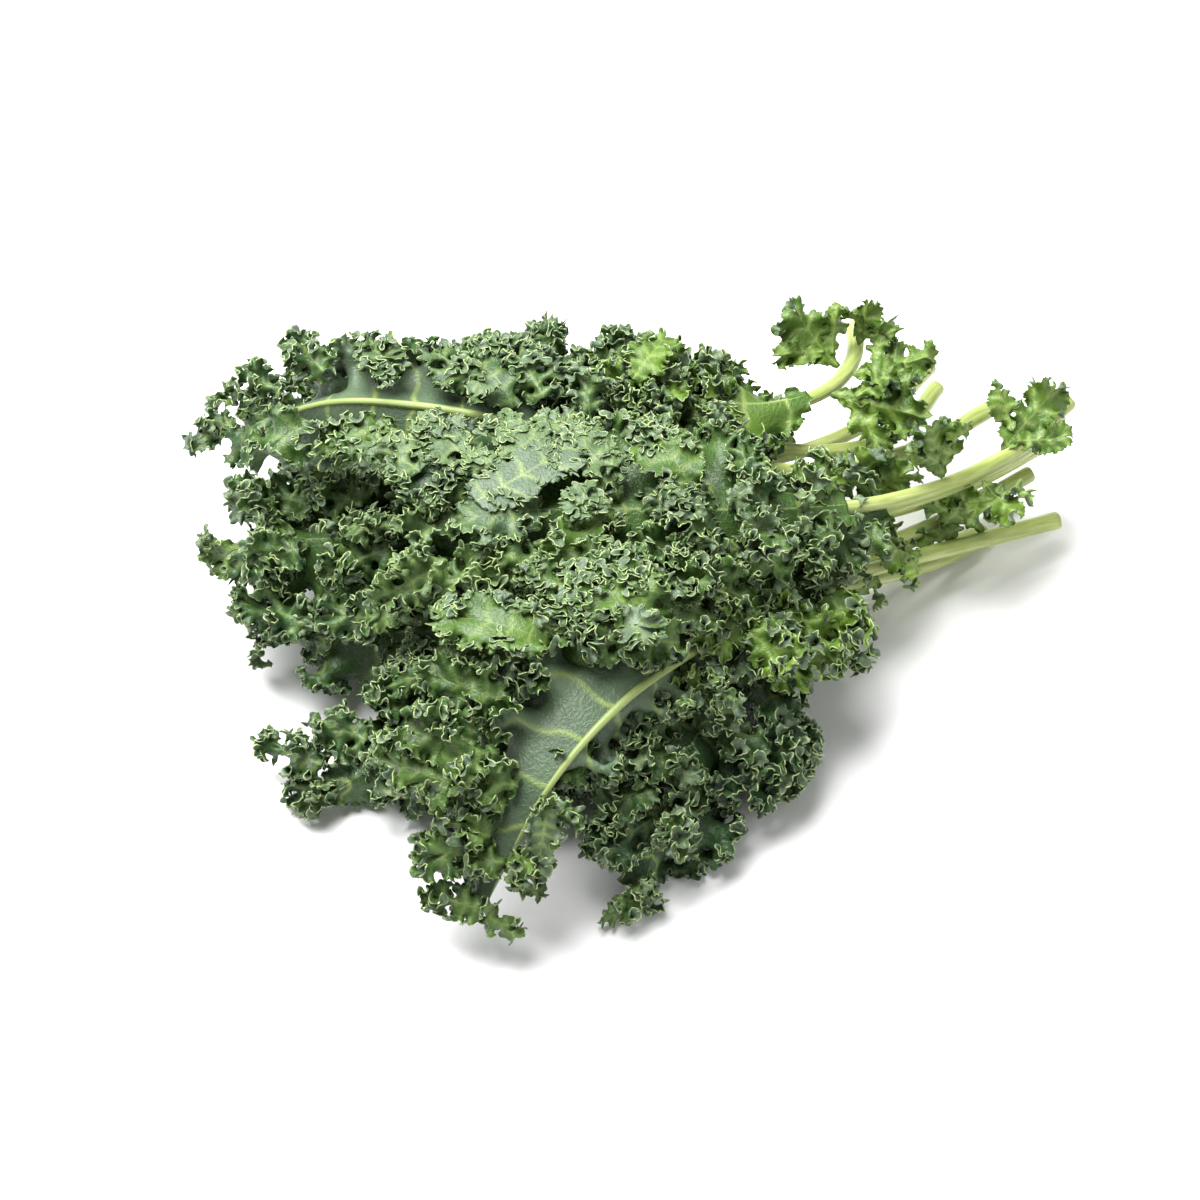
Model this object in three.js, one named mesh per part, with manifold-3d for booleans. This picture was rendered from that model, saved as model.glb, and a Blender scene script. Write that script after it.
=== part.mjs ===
// A bunch of curly kale lying on its side: leaves fanned from a loose sheaf of cut stalks.
// Millimetres, +Z up. The origin is under the middle of the bunch, on the surface that it lies on.
// The stalks' cut ends are at +X and the leaf tips fan out towards -X and -Y.
import * as THREE from "three";
import { mergeVertices } from "three/addons/utils/BufferGeometryUtils.js";
import Module from "manifold-3d";

// ---- Driving dimensions ----
const GAP = 0.4; // clearance kept between touching pieces
const STALK_SIDES = 6;
const PATH_STEPS = 8; // straight steps that a leaf's path is laid out in before it is smoothed
const RING_STEP = 24; // distance between a stalk's rings
const CUT_END_FLARE = 1.12; // a stalk is a little thicker at its cut end
const MIDRIB_TIP_RADIUS = 0.9;
const BLADE_STATIONS = 9; // sections along a blade
const BLADE_COLUMNS = 2; // facets from the midrib to each margin
const MIDRIB_HALF_THICKNESS = 1; // half the blade's thickness beside its midrib
const FRILL_HALF_THICKNESS = 6; // half the depth of the frilled margin
const MIDRIB_REACH = 0.93; // share of the blade's length that the midrib runs along
const BLADE_END_SHARE = 0.12; // width left at a blade's two ends

// Each leaf. cut: the middle of its cut end. length: how long it is, seen from above. heading:
// degrees from +X, seen from above, at its cut end, middle and tip. crown: the share of its path
// where it is highest, and its height there. tip: its height there. out: the way its visible face
// looks.
// underside: true where that face is the back of the leaf, with the midrib standing proud of it.
// from: share of the path where the blade starts. left and right: the blade's halves, seen from out
// with the tip upwards, each a width and the angles in degrees by which it bends away from that
// face at the midrib and at the margin.
const LEAVES = [
  {
    name: "leaf_centre", radius: 4.4, from: 0.4, out: [0, -0.3, 0.95], underside: false,
    cut: [235, 145, 66], length: 395, heading: [235, 190, 175], crown: [0.8, 108], tip: 88,
    left: [68, 5, 50], right: [58, 0, 40],
  },
  {
    name: "leaf_arch", radius: 4.4, from: 0.42, out: [0, -0.3, 0.95], underside: true,
    cut: [195, 155, 50], length: 425, heading: [225, 175, 165], crown: [0.78, 112], tip: 66,
    left: [66, 20, 60], right: [58, 15, 60],
  },
  {
    name: "leaf_front", radius: 4.2, from: 0.36, out: [0, -0.55, 0.83], underside: true,
    cut: [230, 100, 22], length: 400, heading: [200, 225, 230], crown: [0.75, 88], tip: 24,
    left: [52, 20, 75], right: [74, 0, 30],
  },
  {
    name: "leaf_centre_right", radius: 4.2, from: 0.4, out: [0, -0.4, 0.9], underside: false,
    cut: [232, 142, 52], length: 320, heading: [225, 208, 208], crown: [0.8, 92], tip: 74,
    left: [56, 10, 50], right: [50, 0, 30],
  },
  {
    name: "leaf_right", radius: 3.8, from: 0.36, out: [0.15, -0.4, 0.9], underside: false,
    cut: [188, 97, 8], length: 215, heading: [218, 222, 225], crown: [0.85, 76], tip: 70,
    left: [58, 10, 70], right: [48, 0, 40],
  },
  {
    name: "leaf_back_right", radius: 4.4, from: 0.36, out: [0, 0, 1], underside: false,
    cut: [124, 194, 74], length: 195, heading: [275, 190, 130], crown: [0.8, 90], tip: 80,
    left: [50, 0, 40], right: [52, 10, 60],
  },
  {
    name: "leaf_back_top", radius: 4.2, from: 0.38, out: [0, -0.1, 1], underside: false,
    cut: [170, 183, 38], length: 305, heading: [250, 165, 150], crown: [0.75, 85], tip: 60,
    left: [56, 20, 60], right: [50, 10, 70],
  },
  {
    name: "leaf_left", radius: 4.4, from: 0.42, out: [0, -0.15, 1], underside: false,
    cut: [228, 142, 40], length: 470, heading: [220, 190, 162], crown: [0.72, 78], tip: 46,
    left: [64, 0, 45], right: [58, 0, 40],
  },
  {
    name: "leaf_left_low", radius: 4.2, from: 0.42, out: [0, -0.3, 0.95], underside: false,
    cut: [217, 128, 28], length: 440, heading: [218, 202, 160], crown: [0.72, 56], tip: 26,
    left: [62, 10, 60], right: [56, 0, 30],
  },
  {
    name: "leaf_front_left", radius: 4.2, from: 0.42, out: [-0.1, -0.3, 0.95], underside: false,
    cut: [209, 133, 14], length: 420, heading: [218, 212, 198], crown: [0.75, 40], tip: 12,
    left: [60, 10, 60], right: [60, 0, 40],
  },
  {
    name: "leaf_front_right", radius: 4.0, from: 0.38, out: [0.3, -0.4, 0.87], underside: false,
    cut: [193, 106, 6], length: 310, heading: [208, 232, 255], crown: [0.72, 42], tip: 13,
    left: [70, 5, 50], right: [60, 0, 40],
  },
  {
    name: "leaf_back_left", radius: 4.2, from: 0.4, out: [0, 0.1, 1], underside: false,
    cut: [170, 217, 20], length: 420, heading: [240, 168, 162], crown: [0.8, 38], tip: 18,
    left: [58, 0, 40], right: [50, 10, 60],
  },
];

// Leaflets that grow from the bare part of a stalk. at: share of the stalk's path. around: degrees
// about the stalk from its out side. forward: degrees by which it leans towards the leaf's tip.
const LEAFLETS = [
  { name: "leaflet_1", stalk: "leaf_back_right", at: 0.2, around: 45, forward: 0, length: 40, width: 16 },
  { name: "leaflet_2", stalk: "leaf_back_right", at: 0.1, around: -15, forward: 0, length: 28, width: 10 },
  { name: "leaflet_3", stalk: "leaf_back_right", at: 0.2, around: -60, forward: -30, length: 40, width: 16 },
  { name: "leaflet_4", stalk: "leaf_back_right", at: 0.3, around: -75, forward: -15, length: 48, width: 16 },
  { name: "leaflet_5", stalk: "leaf_back_left", at: 0.25, around: 0, forward: 30, length: 36, width: 16 },
  { name: "leaflet_6", stalk: "leaf_centre", at: 0.15, around: 30, forward: -60, length: 44, width: 16 },
  { name: "leaflet_7", stalk: "leaf_centre", at: 0.25, around: 30, forward: 15, length: 36, width: 16 },
  { name: "leaflet_8", stalk: "leaf_left", at: 0.25, around: 15, forward: 15, length: 40, width: 16 },
  { name: "leaflet_9", stalk: "leaf_centre_right", at: 0.2, around: -60, forward: 15, length: 32, width: 14 },
  { name: "leaflet_10", stalk: "leaf_front", at: 0.1, around: 60, forward: 60, length: 44, width: 14 },
  { name: "leaflet_11", stalk: "leaf_front", at: 0.2, around: 15, forward: 60, length: 36, width: 14 },
];
const LEAFLET_WIDTHS = [0.25, 0.9, 1, 0.3]; // shares of its width, from its base to its tip
const LEAFLET_HALF_THICKNESS = 2.4;
const LEAFLET_FACE = [0, -0.5, 0.85]; // the way its visible face looks, more or less
const LEAFLET_CURL = 35; // degrees that a leaflet's halves bend away from its stalk

const GREEN = new THREE.MeshStandardMaterial({ color: 0x3f6b34, roughness: 0.55, metalness: 0 });
const PALE_GREEN = new THREE.MeshStandardMaterial({ color: 0xb9cf7a, roughness: 0.45, metalness: 0 });

const wasm = await Module();
wasm.setup();

const vector = (numbers) => new THREE.Vector3(...numbers);
const radians = THREE.MathUtils.degToRad;
const mix = THREE.MathUtils.lerp;

// ---- Curves and frames ----
// A leaf climbs gently from its cut end to its crown and falls ever faster to its tip.
function heightAt(leaf, share) {
  const [crownShare, crownHeight] = leaf.crown;
  if (share < crownShare) {
    return mix(leaf.cut[2], crownHeight, THREE.MathUtils.smoothstep(share, 0, crownShare));
  }
  return mix(crownHeight, leaf.tip, ((share - crownShare) / (1 - crownShare)) ** 2);
}

// Seen from above, a leaf turns evenly over each of its halves.
function headingAt(leaf, share) {
  const [first, middle, last] = leaf.heading;
  return share < 0.5 ? mix(first, middle, share * 2) : mix(middle, last, share * 2 - 1);
}

function curveOf(leaf) {
  const points = [vector(leaf.cut)];
  for (let i = 1; i <= PATH_STEPS; i++) {
    const heading = radians(headingAt(leaf, (i - 0.5) / PATH_STEPS));
    const step = new THREE.Vector3(Math.cos(heading), Math.sin(heading), 0);
    const point = points[i - 1].clone().addScaledVector(step, leaf.length / PATH_STEPS);
    points.push(point.setZ(heightAt(leaf, i / PATH_STEPS)));
  }
  return new THREE.CatmullRomCurve3(points, false, "catmullrom", 0.5);
}

// The stalk thins steadily from its cut end to the blade, then along the midrib to its tip.
function stalkRadius(leaf, share) {
  const atBlade = leaf.radius * 0.8;
  if (share < leaf.from) return mix(leaf.radius * CUT_END_FLARE, atBlade, share / leaf.from);
  return mix(atBlade, MIDRIB_TIP_RADIUS, (share - leaf.from) / (1 - leaf.from));
}

// At a share of the path: the point, the way to the tip, the way out of the visible face, and
// the way to the right-hand margin.
function frameAt(curve, outward, share) {
  const point = curve.getPointAt(share);
  const along = curve.getTangentAt(share);
  const out = vector(outward).addScaledVector(along, -vector(outward).dot(along)).normalize();
  const right = new THREE.Vector3().crossVectors(along, out);
  return { point, along, out, right };
}

// ---- Solids ----
// Bends a box into a plate: x runs from margin to margin, y from the base to the tip, and z
// through the thickness. place gives the new position of each of its corners.
function plateGeometry(columns, stations, place) {
  const plate = new THREE.BoxGeometry(2, 1, 2, 2 * columns, stations - 1, 1).translate(0, 0.5, 0);
  const position = plate.getAttribute("position");
  for (let i = 0; i < position.count; i++) {
    const corner = place(position.getX(i), position.getY(i), position.getZ(i));
    position.setXYZ(i, corner.x, corner.y, corner.z);
  }
  return plate;
}

// A round stalk along its path, tapered, and grown by margin when it is used as a cutter.
function stalkGeometry(leaf, margin) {
  const reach = mix(leaf.from, 1, MIDRIB_REACH);
  const whole = curveOf(leaf);
  const steps = Math.round((whole.getLength() * reach) / RING_STEP);
  const centres = Array.from({ length: steps + 1 }, (_, i) => whole.getPointAt((reach * i) / steps));
  const path = new THREE.CatmullRomCurve3(centres, false, "catmullrom", 0.5);
  const section = new THREE.Shape().absarc(0, 0, 1, 0, 2 * Math.PI);
  const tube = new THREE.ExtrudeGeometry(section, {
    curveSegments: STALK_SIDES / 2,
    steps,
    extrudePath: path,
  });
  const rings = path.getSpacedPoints(steps);
  const position = tube.getAttribute("position");
  const point = new THREE.Vector3();
  for (let i = 0; i < position.count; i++) {
    point.fromBufferAttribute(position, i);
    const distances = rings.map((centre) => centre.distanceTo(point));
    const ring = distances.indexOf(Math.min(...distances));
    const radius = stalkRadius(leaf, (reach * ring) / steps) + margin;
    point.sub(rings[ring]).multiplyScalar(radius).add(rings[ring]);
    position.setXYZ(i, point.x, point.y, point.z);
  }
  return tube;
}

// How wide the blade is at a share of its own length: a rounded leaf, fullest below its middle.
function bladeShare(share) {
  return Math.max(BLADE_END_SHARE, Math.sin(Math.PI * share ** 0.85) ** 0.55);
}

// A point of a blade's section, at x across it from margin to margin and z through it. The
// section's own axes are to the right-hand margin and out of the visible face.
function bladeSection(leaf, scale, x, z, margin) {
  const [width, bendStart, bendEnd] = x < 0 ? leaf.left : leaf.right;
  const share = Math.abs(x);
  const bendAt = (at) => radians(mix(bendStart, bendEnd, at)) * scale;
  const step = (width * scale + margin) / BLADE_COLUMNS;
  const point = new THREE.Vector2();
  for (let i = 0; i < Math.round(share * BLADE_COLUMNS); i++) {
    const bend = bendAt((i + 0.5) / BLADE_COLUMNS);
    point.x += step * Math.cos(bend);
    point.y -= step * Math.sin(bend);
  }
  const thickness = mix(MIDRIB_HALF_THICKNESS, FRILL_HALF_THICKNESS * scale, share ** 0.5) + margin;
  point.x += z * thickness * Math.sin(bendAt(share));
  point.y += z * thickness * Math.cos(bendAt(share));
  if (x < 0) point.x = -point.x;
  return point;
}

function bladeGeometry(leaf, margin) {
  const curve = curveOf(leaf);
  const side = leaf.underside ? -1 : 1;
  return plateGeometry(BLADE_COLUMNS, BLADE_STATIONS, (x, y, z) => {
    const onPath = mix(leaf.from, 1, y);
    const { point, out, right } = frameAt(curve, leaf.out, onPath);
    const section = bladeSection(leaf, bladeShare(y), x, z, margin);
    const lift = side * (stalkRadius(leaf, onPath) + GAP + MIDRIB_HALF_THICKNESS);
    return point.addScaledVector(right, section.x).addScaledVector(out, section.y + lift);
  });
}

// A small bent plate beside a stalk, widest past its middle.
function leafletGeometry(leaflet, margin) {
  const leaf = LEAVES.find(({ name }) => name === leaflet.stalk);
  const { point, along, out, right } = frameAt(curveOf(leaf), leaf.out, leaflet.at);
  const turn = radians(leaflet.around);
  const away = out.multiplyScalar(Math.cos(turn)).addScaledVector(right, Math.sin(turn));
  const lean = radians(leaflet.forward);
  const ahead = away.clone().multiplyScalar(Math.cos(lean)).addScaledVector(along, Math.sin(lean));
  const across = new THREE.Vector3().crossVectors(ahead, vector(LEAFLET_FACE)).normalize();
  const normal = new THREE.Vector3().crossVectors(across, ahead).normalize();
  const root = point.addScaledVector(away, stalkRadius(leaf, leaflet.at) + GAP - margin);
  const bend = radians(LEAFLET_CURL);
  return plateGeometry(1, LEAFLET_WIDTHS.length, (x, y, z) => {
    const width = leaflet.width * LEAFLET_WIDTHS[Math.round(y * (LEAFLET_WIDTHS.length - 1))] + margin;
    const fall = Math.abs(x) * width * Math.sin(bend);
    return root.clone()
      .addScaledVector(ahead, y * leaflet.length)
      .addScaledVector(across, x * width * Math.cos(bend))
      .addScaledVector(normal, z * (LEAFLET_HALF_THICKNESS + margin) - fall);
  });
}

// ---- Cutting pieces clear of each other ----
function solidOf(geometry) {
  const bare = geometry.clone();
  for (const name of Object.keys(bare.attributes)) {
    if (name !== "position") bare.deleteAttribute(name);
  }
  const merged = mergeVertices(bare, 1e-3);
  const triVerts = new Uint32Array(merged.index.array);
  const solid = new wasm.Manifold(
    new wasm.Mesh({ numProp: 3, vertProperties: merged.attributes.position.array, triVerts }),
  );
  if (solid.volume() > 0) return solid;
  for (let i = 0; i < triVerts.length; i += 3) {
    [triVerts[i + 1], triVerts[i + 2]] = [triVerts[i + 2], triVerts[i + 1]];
  }
  return new wasm.Manifold(
    new wasm.Mesh({ numProp: 3, vertProperties: merged.attributes.position.array, triVerts }),
  );
}

function largestPiece(solid) {
  return solid.decompose().reduce((best, piece) => (piece.volume() > best.volume() ? piece : best));
}

function geometryOf(solid) {
  const mesh = solid.getMesh();
  return new THREE.BufferGeometry()
    .setAttribute("position", new THREE.BufferAttribute(mesh.vertProperties, 3))
    .setIndex(new THREE.BufferAttribute(mesh.triVerts, 1));
}

// Everything below the surface that the bunch lies on, which presses its lowest leaves flat.
const FLOOR_BLOCK = new THREE.BoxGeometry(800, 800, 100).translate(0, 0, -50);

const bunch = new THREE.Group();
const floor = solidOf(FLOOR_BLOCK);
const cutters = [];

function place(name, geometry, cutter, material) {
  const whole = solidOf(geometry);
  let solid = whole.subtract(floor);
  for (const other of cutters) solid = solid.subtract(other);
  const mesh = new THREE.Mesh(geometryOf(largestPiece(solid)), material.clone());
  mesh.name = name;
  bunch.add(mesh);
  cutters.push(solidOf(cutter).add(whole));
}

for (const leaf of LEAVES) {
  place(`${leaf.name}_stalk`, stalkGeometry(leaf, 0), stalkGeometry(leaf, GAP), PALE_GREEN);
}
for (const leaf of LEAVES) {
  place(`${leaf.name}_blade`, bladeGeometry(leaf, 0), bladeGeometry(leaf, GAP), GREEN);
}
for (const leaflet of LEAFLETS) {
  place(leaflet.name, leafletGeometry(leaflet, 0), leafletGeometry(leaflet, GAP), GREEN);
}

// The origin goes under the middle of the bunch.
const extent = new THREE.Box3().setFromObject(bunch);
const middle = extent.getCenter(new THREE.Vector3());
bunch.position.set(-middle.x, -middle.y, -extent.min.z);

export default bunch;
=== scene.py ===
"""A bunch of curly kale lying on its side, in metres, in the row's frame."""
import math

import bpy
import numpy as np
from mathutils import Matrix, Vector


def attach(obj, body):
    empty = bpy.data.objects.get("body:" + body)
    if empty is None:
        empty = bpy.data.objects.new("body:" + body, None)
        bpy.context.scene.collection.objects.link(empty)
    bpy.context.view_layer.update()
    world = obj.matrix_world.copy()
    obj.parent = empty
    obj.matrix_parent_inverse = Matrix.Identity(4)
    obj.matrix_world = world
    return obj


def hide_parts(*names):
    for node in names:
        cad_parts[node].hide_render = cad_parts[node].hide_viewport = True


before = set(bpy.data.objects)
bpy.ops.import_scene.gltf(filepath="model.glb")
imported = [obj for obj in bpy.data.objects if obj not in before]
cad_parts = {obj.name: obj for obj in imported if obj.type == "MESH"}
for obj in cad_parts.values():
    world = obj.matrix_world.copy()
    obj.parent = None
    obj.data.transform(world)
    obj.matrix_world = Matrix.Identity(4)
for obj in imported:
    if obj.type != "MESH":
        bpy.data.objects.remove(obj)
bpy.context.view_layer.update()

MM = 0.001
ORIGIN = np.array([-10.46, -32.22, 0.0])  # moves the leaves' own frame to the row's, in mm

# Each leaf. cut: the middle of its cut end. length: how long it is, seen from above. heading:
# degrees from +X, seen from above, at its cut end, middle and tip. crown: the share of its path
# where it is highest, and its height there. tip: its height there. out: the way its visible face
# looks. under: True where that face is the back of the leaf. start: the share of the path where
# the blade starts. radius: the stalk's. left, right: each half's width, and the degrees by which
# it bends away from the visible face at the midrib, past its middle and at the margin.
# lobes_left, lobes_right, folded: the stretches of the blade that have side lobes, and lobes that
# fold over the midrib. root: how far from the midrib the lobes start, along the blade. rise: the
# least and most degrees at which they rise. pale: how much of their backs shows. young:
# how yellow and light the leaf is. Partly that is its own tone, and partly painted shade: the
# deeper leaves have low values, which give them a darker colour.
LEAVES = {
    "centre": dict(
        cut=(235, 145, 66), length=395, heading=(235, 190, 175), crown=(0.8, 108), tip=88,
        out=(0, -0.3, 0.95), under=False, start=0.4, radius=4.4, left=(66, 10, 35, 40),
        right=(58, 10, 30, 40), pale=0.4, young=0.3),
    "arch": dict(
        cut=(195, 155, 50), length=425, heading=(225, 175, 165), crown=(0.78, 112), tip=66,
        out=(0, -0.3, 0.95), under=True, start=0.42, radius=4.4, left=(68, 20, 50, 20),
        right=(60, 15, 45, 30), lobes_right=((0, 0.4), (0.7, 1)), folded=((0, 0.38), (0.72, 1)),
        root=((0, 0.35, 0.45, 0.7, 0.8), (3, 4, 20, 18, 3)), young=0.14),
    "front": dict(
        cut=(230, 100, 22), length=400, heading=(200, 225, 230), crown=(0.75, 88), tip=24,
        out=(0, -0.55, 0.83), under=True, start=0.36, radius=4.2, left=(30, 30, 75, 60),
        right=(68, 0, 15, -20), lobes_left=((0, 0.35), (0.75, 0.9)), lobes_right=((0, 0.9),),
        folded=((0, 0.4), (0.82, 0.9)),
        root=((0, 0.35, 0.5, 0.85, 1), (3, 14, 46, 22, 4)), young=0.3),
    "centre_right": dict(
        cut=(232, 142, 52), length=320, heading=(225, 208, 208), crown=(0.8, 92), tip=74,
        out=(0, -0.4, 0.9), under=False, start=0.4, radius=4.2,
        left=(54, 10, 35, 20), right=(48, 5, 30, 10), young=0.2),
    "right": dict(
        cut=(188, 97, 8), length=215, heading=(218, 222, 225), crown=(0.85, 76), tip=70,
        out=(0.15, -0.4, 0.9), under=False, start=0.36, radius=3.8,
        left=(38, 10, 40, 30), right=(46, 5, 30, 10), young=0.95),
    "back_right": dict(
        cut=(124, 194, 74), length=195, heading=(275, 190, 130), crown=(0.8, 90), tip=80,
        out=(0, 0, 1), under=False, start=0.36, radius=4.4, left=(46, 5, 30, 10), right=(36, 10, 35, 10),
        lobes_left=((0.2, 1),), lobes_right=((0.3, 1),), folded=((0.3, 1),), young=0.85),
    "back_top": dict(
        cut=(170, 183, 38), length=305, heading=(250, 165, 150), crown=(0.75, 85), tip=60,
        out=(0, -0.1, 1), under=False, start=0.38, radius=4.2,
        left=(56, 10, 35, 30), right=(48, 10, 35, 10), young=0.1),
    "left": dict(
        cut=(228, 142, 40), length=470, heading=(220, 190, 162), crown=(0.72, 78), tip=46,
        out=(0, -0.15, 1), under=False, start=0.42, radius=4.4,
        left=(56, 10, 35, 30), right=(52, 5, 25, -10), rise=(0, 35), young=0.3),
    "left_low": dict(
        cut=(217, 128, 28), length=440, heading=(218, 202, 160), crown=(0.72, 56), tip=26,
        out=(0, -0.3, 0.95), under=False, start=0.42, radius=4.2,
        left=(54, 10, 35, 30), right=(50, 5, 25, -10), rise=(0, 35), young=0.12),
    "front_left": dict(
        cut=(209, 133, 14), length=420, heading=(218, 212, 198), crown=(0.75, 40), tip=12,
        out=(-0.1, -0.3, 0.95), under=False, start=0.42, radius=4.2,
        left=(60, 5, 30, 10), right=(58, 0, 20, -30), rise=(5, 40), young=0.1),
    "front_right": dict(
        cut=(193, 106, 6), length=310, heading=(208, 232, 255), crown=(0.72, 42), tip=13,
        out=(0.3, -0.4, 0.87), under=False, start=0.38, radius=4.0, left=(58, 5, 30, 10),
        right=(68, 0, 20, -20), young=0.05),
    "back_left": dict(
        cut=(170, 217, 20), length=420, heading=(240, 168, 162), crown=(0.8, 38), tip=18,
        out=(0, 0.1, 1), under=False, start=0.4, radius=4.2,
        left=(56, 0, 15, -70), right=(50, 10, 30, -50), young=0.1),
}

# Leaflets on the bare stalks: number, leaf, share of the path, degrees about the stalk from its
# out side, degrees that they lean to the tip, length and half width.
LEAFLETS = [
    (1, "back_right", 0.2, 45, 0, 40, 16),
    (2, "back_right", 0.1, -15, 0, 28, 10),
    (3, "back_right", 0.2, -60, -30, 40, 16),
    (4, "back_right", 0.3, -75, -15, 48, 16),
    (5, "back_left", 0.25, 0, 30, 36, 16),
    (6, "centre", 0.15, 30, -60, 44, 16),
    (7, "centre", 0.25, 30, 15, 36, 16),
    (8, "left", 0.25, 15, 15, 40, 16),
    (9, "centre_right", 0.2, -60, 15, 32, 14),
    (10, "front", 0.1, 60, 60, 44, 14),
    (11, "front", 0.2, 15, 60, 36, 14),
]

# The ruffles: wavelength in mm, how far from the margin they start, and their steepness.
BLADE_WAVES = [(44, 46, 0.7), (20, 26, 0.9), (9, 14, 1.0), (4.4, 7, 1.0), (2.7, 3.2, 0.7)]
FRILLY = [(20, 20, 0.85), (9, 13, 1.0), (4.4, 7, 1.0), (2.7, 3.2, 0.7)]
FAN = [(20, 20, 0.85), (9, 9, 0.9), (4.4, 5, 0.95), (2.7, 2.7, 0.6)]
FLAT = [(30, 30, 0.25), (12, 9, 0.8), (6, 6.5, 0.9), (4, 5, 1.0), (2.7, 3, 0.7)]
LEAFLET_WAVES = [(15, 15, 0.5), (7.5, 10, 0.65), (4, 5.5, 0.55), (2.6, 2.6, 0.3)]

# Rows of loose lobes that lie over the heap. Each row: its leaf, the side that it grows from (-1
# left, 1 right), the first and last shares of the path, how many, mm from the midrib and above
# it, degrees that they lean to the tip, their length and half width, how much of their underside
# shows, how yellow and light they are (partly their own tone, partly painted shade), and their
# waves.
TUFT_ROWS = [
    ("centre", 1, (0.86, 0.86), 1, 0, 30, -60, 60, 18, 1, 0.2, FLAT),
    ("centre", 1, (0.7, 0.92), 4, 20, 24, 50, 42, 16, 0.4, 0.5, FRILLY),
    ("centre", -1, (0.7, 0.9), 4, 28, 14, 70, 40, 18, 0.3, 0.7, FRILLY),
    ("centre_right", 1, (0.72, 0.72), 1, 0, 12, 25, 44, 16, 0, -0.1, FLAT),
    ("centre_right", 1, (0.9, 0.9), 1, 0, 12, 45, 34, 15, 0, 0, FLAT),
    ("left_low", -1, (0.75, 0.75), 1, 25, 20, 85, 38, 12, 0, 0.1, FLAT),
    ("back_right", 1, (0.8, 0.8), 1, -20, 26, 0, 40, 13, 0, 0.9, FLAT),
    ("right", 1, (0.9, 0.9), 1, 0, 5, -80, 42, 14, 0, 0.9, FLAT),
    ("right", -1, (0.6, 0.85), 3, 5, 12, -10, 34, 16, 0, 1.1, FRILLY),
    ("front", 1, (0.5, 0.62), 3, 6, 14, 45, 40, 18, 0, 0.3, FRILLY),
    ("front", 1, (0.66, 0.88), 6, 40, 8, 20, 32, 18, 0, 0.35, FRILLY),
    ("front", 1, (0.85, 0.91), 3, 12, 6, 10, 24, 15, 0, 0.4, FRILLY),
    ("front", -1, (0.85, 0.91), 2, 0, 8, 10, 16, 12, 0, 0.4, FRILLY),
    ("front", 1, (0.93, 0.99), 2, 0, 5, 10, 24, 13, 0, 0.4, FRILLY),
    ("front", -1, (0.93, 0.99), 2, 0, 5, 10, 18, 11, 0, 0.4, FRILLY),
    ("arch", 1, (0.6, 0.85), 4, 14, 8, 40, 28, 15, 0, 0.15, FRILLY),
    ("front", -1, (0.85, 0.85), 1, 5, 10, 65, 26, 12, 1, 0.3, FLAT),
    ("front_left", 1, (0.86, 0.98), 3, 12, 8, 30, 30, 16, 0, 0.1, FRILLY),
    ("front_right", 1, (0.7, 0.86), 4, 14, 12, 50, 22, 16, 0, 0.05, FRILLY),
    ("left", 1, (0.82, 0.92), 3, 15, 8, 60, 34, 16, 0, 0.2, FRILLY),
    ("left", -1, (0.78, 0.88), 2, 10, 8, 75, 34, 16, 0, 0.1, FRILLY),
    ("left_low", 1, (0.82, 0.92), 2, 0, 16, 75, 38, 17, 0, 0.1, FRILLY),
]
TUFT_FALL = 0.15  # how far a tuft falls, as a share of its length
TUFT_ARCH = 0.1  # how far its middle stands out, as a share of its length

CUT_END_FLARE = 1.12  # a stalk is a little thicker at its cut end
AT_BLADE = 0.8  # its share of its radius where the blade starts
MIDRIB_TIP_RADIUS = 0.9
STALK_SIDES = 20
STALK_RING = 2.5  # mm between a stalk's rings
STALK_REACH = 0.985  # share of the path that the midrib runs along
FACE = (0, -0.5, 0.85)  # the way a loose lobe's or leaflet's visible face looks, more or less
LOBE_PLACES = np.arange(0.05, 0.97, 0.15)  # along a blade
FAN_CHANCE = 0.4  # share of the side lobes that are ruffled as fans
BENDS_AT = (0, 0.55, 1)  # shares across a half where its three bends are given
PRESS_BELOW, LOWEST = 6, 0.2  # heights that the surface squeezes, and the least height left
PRESS_ABOVE, PRESS_ROOM = 114, 16  # heights that the heap's own weight squeezes, and by how much
PATH_STEPS = 8  # straight steps that a leaf's path is laid out in before it is smoothed
ROW_STEP = 1.4  # mm between rows, outwards from the midrib
COLUMN_GAP = (2.6, 1.25)  # widest gap between columns at the midrib and at the margin
SHEET = 0.5  # thickness of a blade


def unit(v):
    return v / np.maximum(np.linalg.norm(v, axis=-1, keepdims=True), 1e-9)


def smooth_noise(rng, positions, scale):
    """Smooth noise of about -1 to 1 along a line, changing over about scale."""
    low, high = positions.min() - 2 * scale, positions.max() + 2 * scale
    knots = np.arange(low, high + scale, scale)
    values = rng.uniform(-1, 1, len(knots))
    t = np.clip((positions - low) / scale, 0, len(knots) - 2)
    i = t.astype(int)
    f = t - i
    f = f * f * (3 - 2 * f)
    return values[i] * (1 - f) + values[i + 1] * f


def leaf_points(leaf):
    """A leaf's middle line, laid out in straight steps. Seen from above it turns evenly over each
    of its halves; it climbs gently to its crown and falls ever faster to its tip."""
    shares = np.linspace(0, 1, PATH_STEPS + 1)
    turn = np.radians(np.interp((shares[1:] + shares[:-1]) / 2, (0, 0.5, 1), leaf["heading"]))
    steps = np.stack([np.cos(turn), np.sin(turn)], -1) * leaf["length"] / PATH_STEPS
    x, y = np.vstack([leaf["cut"][:2], leaf["cut"][:2] + np.cumsum(steps, axis=0)]).T
    (crown, top), foot = leaf["crown"], leaf["cut"][2]
    climb = np.clip(shares / crown, 0, 1)
    fall = np.clip((shares - crown) / (1 - crown), 0, 1)
    z = foot + (top - foot) * climb**2 * (3 - 2 * climb) - (top - leaf["tip"]) * fall**2
    return np.stack([x, y, z], -1)


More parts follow.
